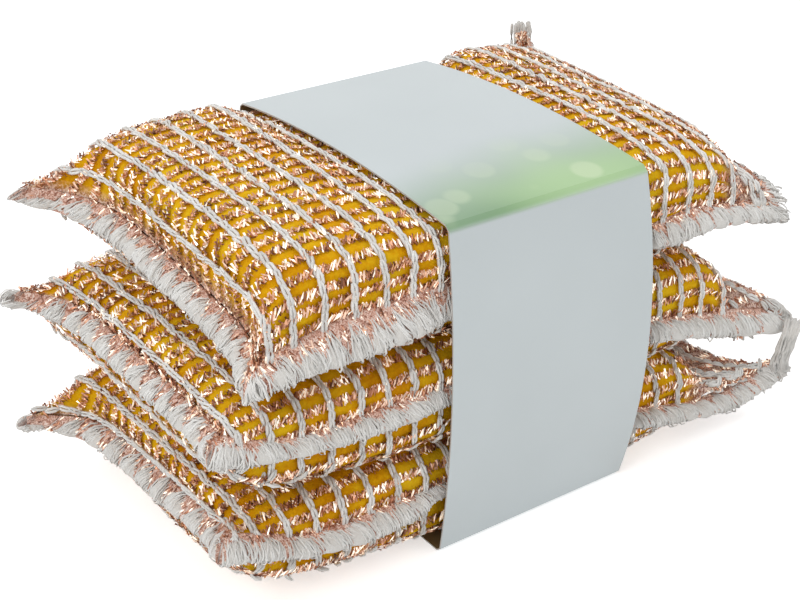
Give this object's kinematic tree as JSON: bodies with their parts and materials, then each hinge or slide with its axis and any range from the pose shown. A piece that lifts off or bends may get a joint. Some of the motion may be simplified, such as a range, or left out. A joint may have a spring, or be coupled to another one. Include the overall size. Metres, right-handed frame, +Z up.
{
  "type": "pot scrubber",
  "caption": "Banded stack of pot scrubbers: foam pillows in a knitted net of white thread and copper tinsel, overlocked round the edge, held by a card band.",
  "frame": {"origin": "centre of the underside of the card band, on the surface that the set rests on", "axes": "+X along the scrubbers, towards the right end as seen from the front; +Y from the front seams to the folded back; +Z up"},
  "size_m": [0.1875, 0.0966, 0.0878],
  "materials": {
    "foam": "open-celled yellow foam",
    "net": "knitted copper tinsel over the foam",
    "wale_thread": "white chain-stitch thread",
    "seam_thread": "white fluffy overlock thread",
    "card": "coated card, soft sheen",
    "glue": "dried white glue"
  },
  "bodies": {
    "band": {"paper_band": "card", "lap_glue": "glue"},
    "scrubber_bottom": {"foam_core_bottom": "foam", "net_cover_bottom": "net", "chain_wales_bottom": "wale_thread", "front_seam_bottom": "seam_thread", "left_seam_bottom": "seam_thread", "right_seam_bottom": "seam_thread", "thread_tail_bottom": "seam_thread"},
    "scrubber_middle": {"foam_core_middle": "foam", "net_cover_middle": "net", "chain_wales_middle": "wale_thread", "front_seam_middle": "seam_thread", "left_seam_middle": "seam_thread", "right_seam_middle": "seam_thread", "thread_tail_middle": "seam_thread"},
    "scrubber_top": {"foam_core_top": "foam", "net_cover_top": "net", "chain_wales_top": "wale_thread", "front_seam_top": "seam_thread", "left_seam_top": "seam_thread", "right_seam_top": "seam_thread", "thread_tail_top": "seam_thread"}
  },
  "joints": [
    {"name": "slide_bottom", "type": "slide", "parent": "band", "child": "scrubber_bottom", "axis": [1, 0, 0], "range_m": [-0.13, 0.13]},
    {"name": "slide_middle", "type": "slide", "parent": "band", "child": "scrubber_middle", "axis": [1, 0, 0], "range_m": [-0.13, 0.13]},
    {"name": "slide_top", "type": "slide", "parent": "band", "child": "scrubber_top", "axis": [1, 0, 0], "range_m": [-0.13, 0.13]}
  ]
}
